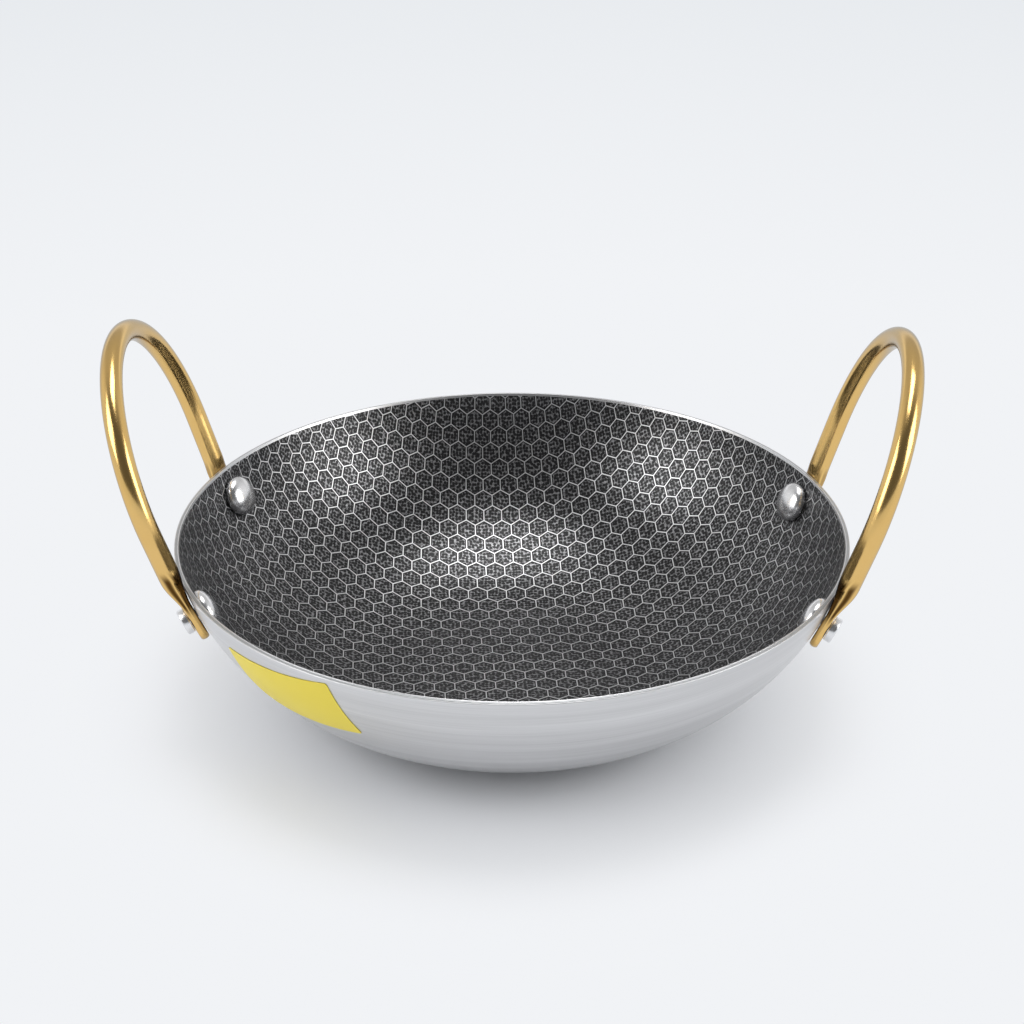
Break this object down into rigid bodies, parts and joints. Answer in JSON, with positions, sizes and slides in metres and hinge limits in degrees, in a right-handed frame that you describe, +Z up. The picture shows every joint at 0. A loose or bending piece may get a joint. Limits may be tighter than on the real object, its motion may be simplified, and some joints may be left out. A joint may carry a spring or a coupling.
{
  "type": "wok",
  "caption": "Small flat-bottomed wok with a honeycomb nonstick inside, a bright steel outside and upright gold-toned loop handles riveted to the wall.",
  "frame": {"origin": "centre of the flat underside, on the surface the wok stands on", "axes": "+Z up out of the bowl, the handles stand along X, the pictured side faces -Y"},
  "size_m": [0.257, 0.22, 0.1255],
  "materials": {
    "outer_steel": "satin spun stainless sheet, fine rings round the axis, polished lip",
    "core_aluminium": "bare core sheet, seen only as a fine line in the rim",
    "inner_steel": "etched stainless sheet, bare on the honeycomb ridges and the lip",
    "coating": "charcoal nonstick coating with a fine speckle in the honeycomb cells",
    "gold_tube": "polished gold-toned metal tube",
    "rivet_metal": "satin silver, domed head inside, plain upset end outside",
    "label_paper": "plain yellow paper sticker with a thin clear sheen"
  },
  "bodies": {
    "root": {"outer_ply": "outer_steel", "core_ply": "core_aluminium", "inner_ply": "inner_steel", "nonstick_coating": "coating", "label": "label_paper", "handle_right": "gold_tube", "handle_left": "gold_tube", "rivet_right_front": "rivet_metal", "rivet_right_rear": "rivet_metal", "rivet_left_front": "rivet_metal", "rivet_left_rear": "rivet_metal"}
  },
  "joints": []
}
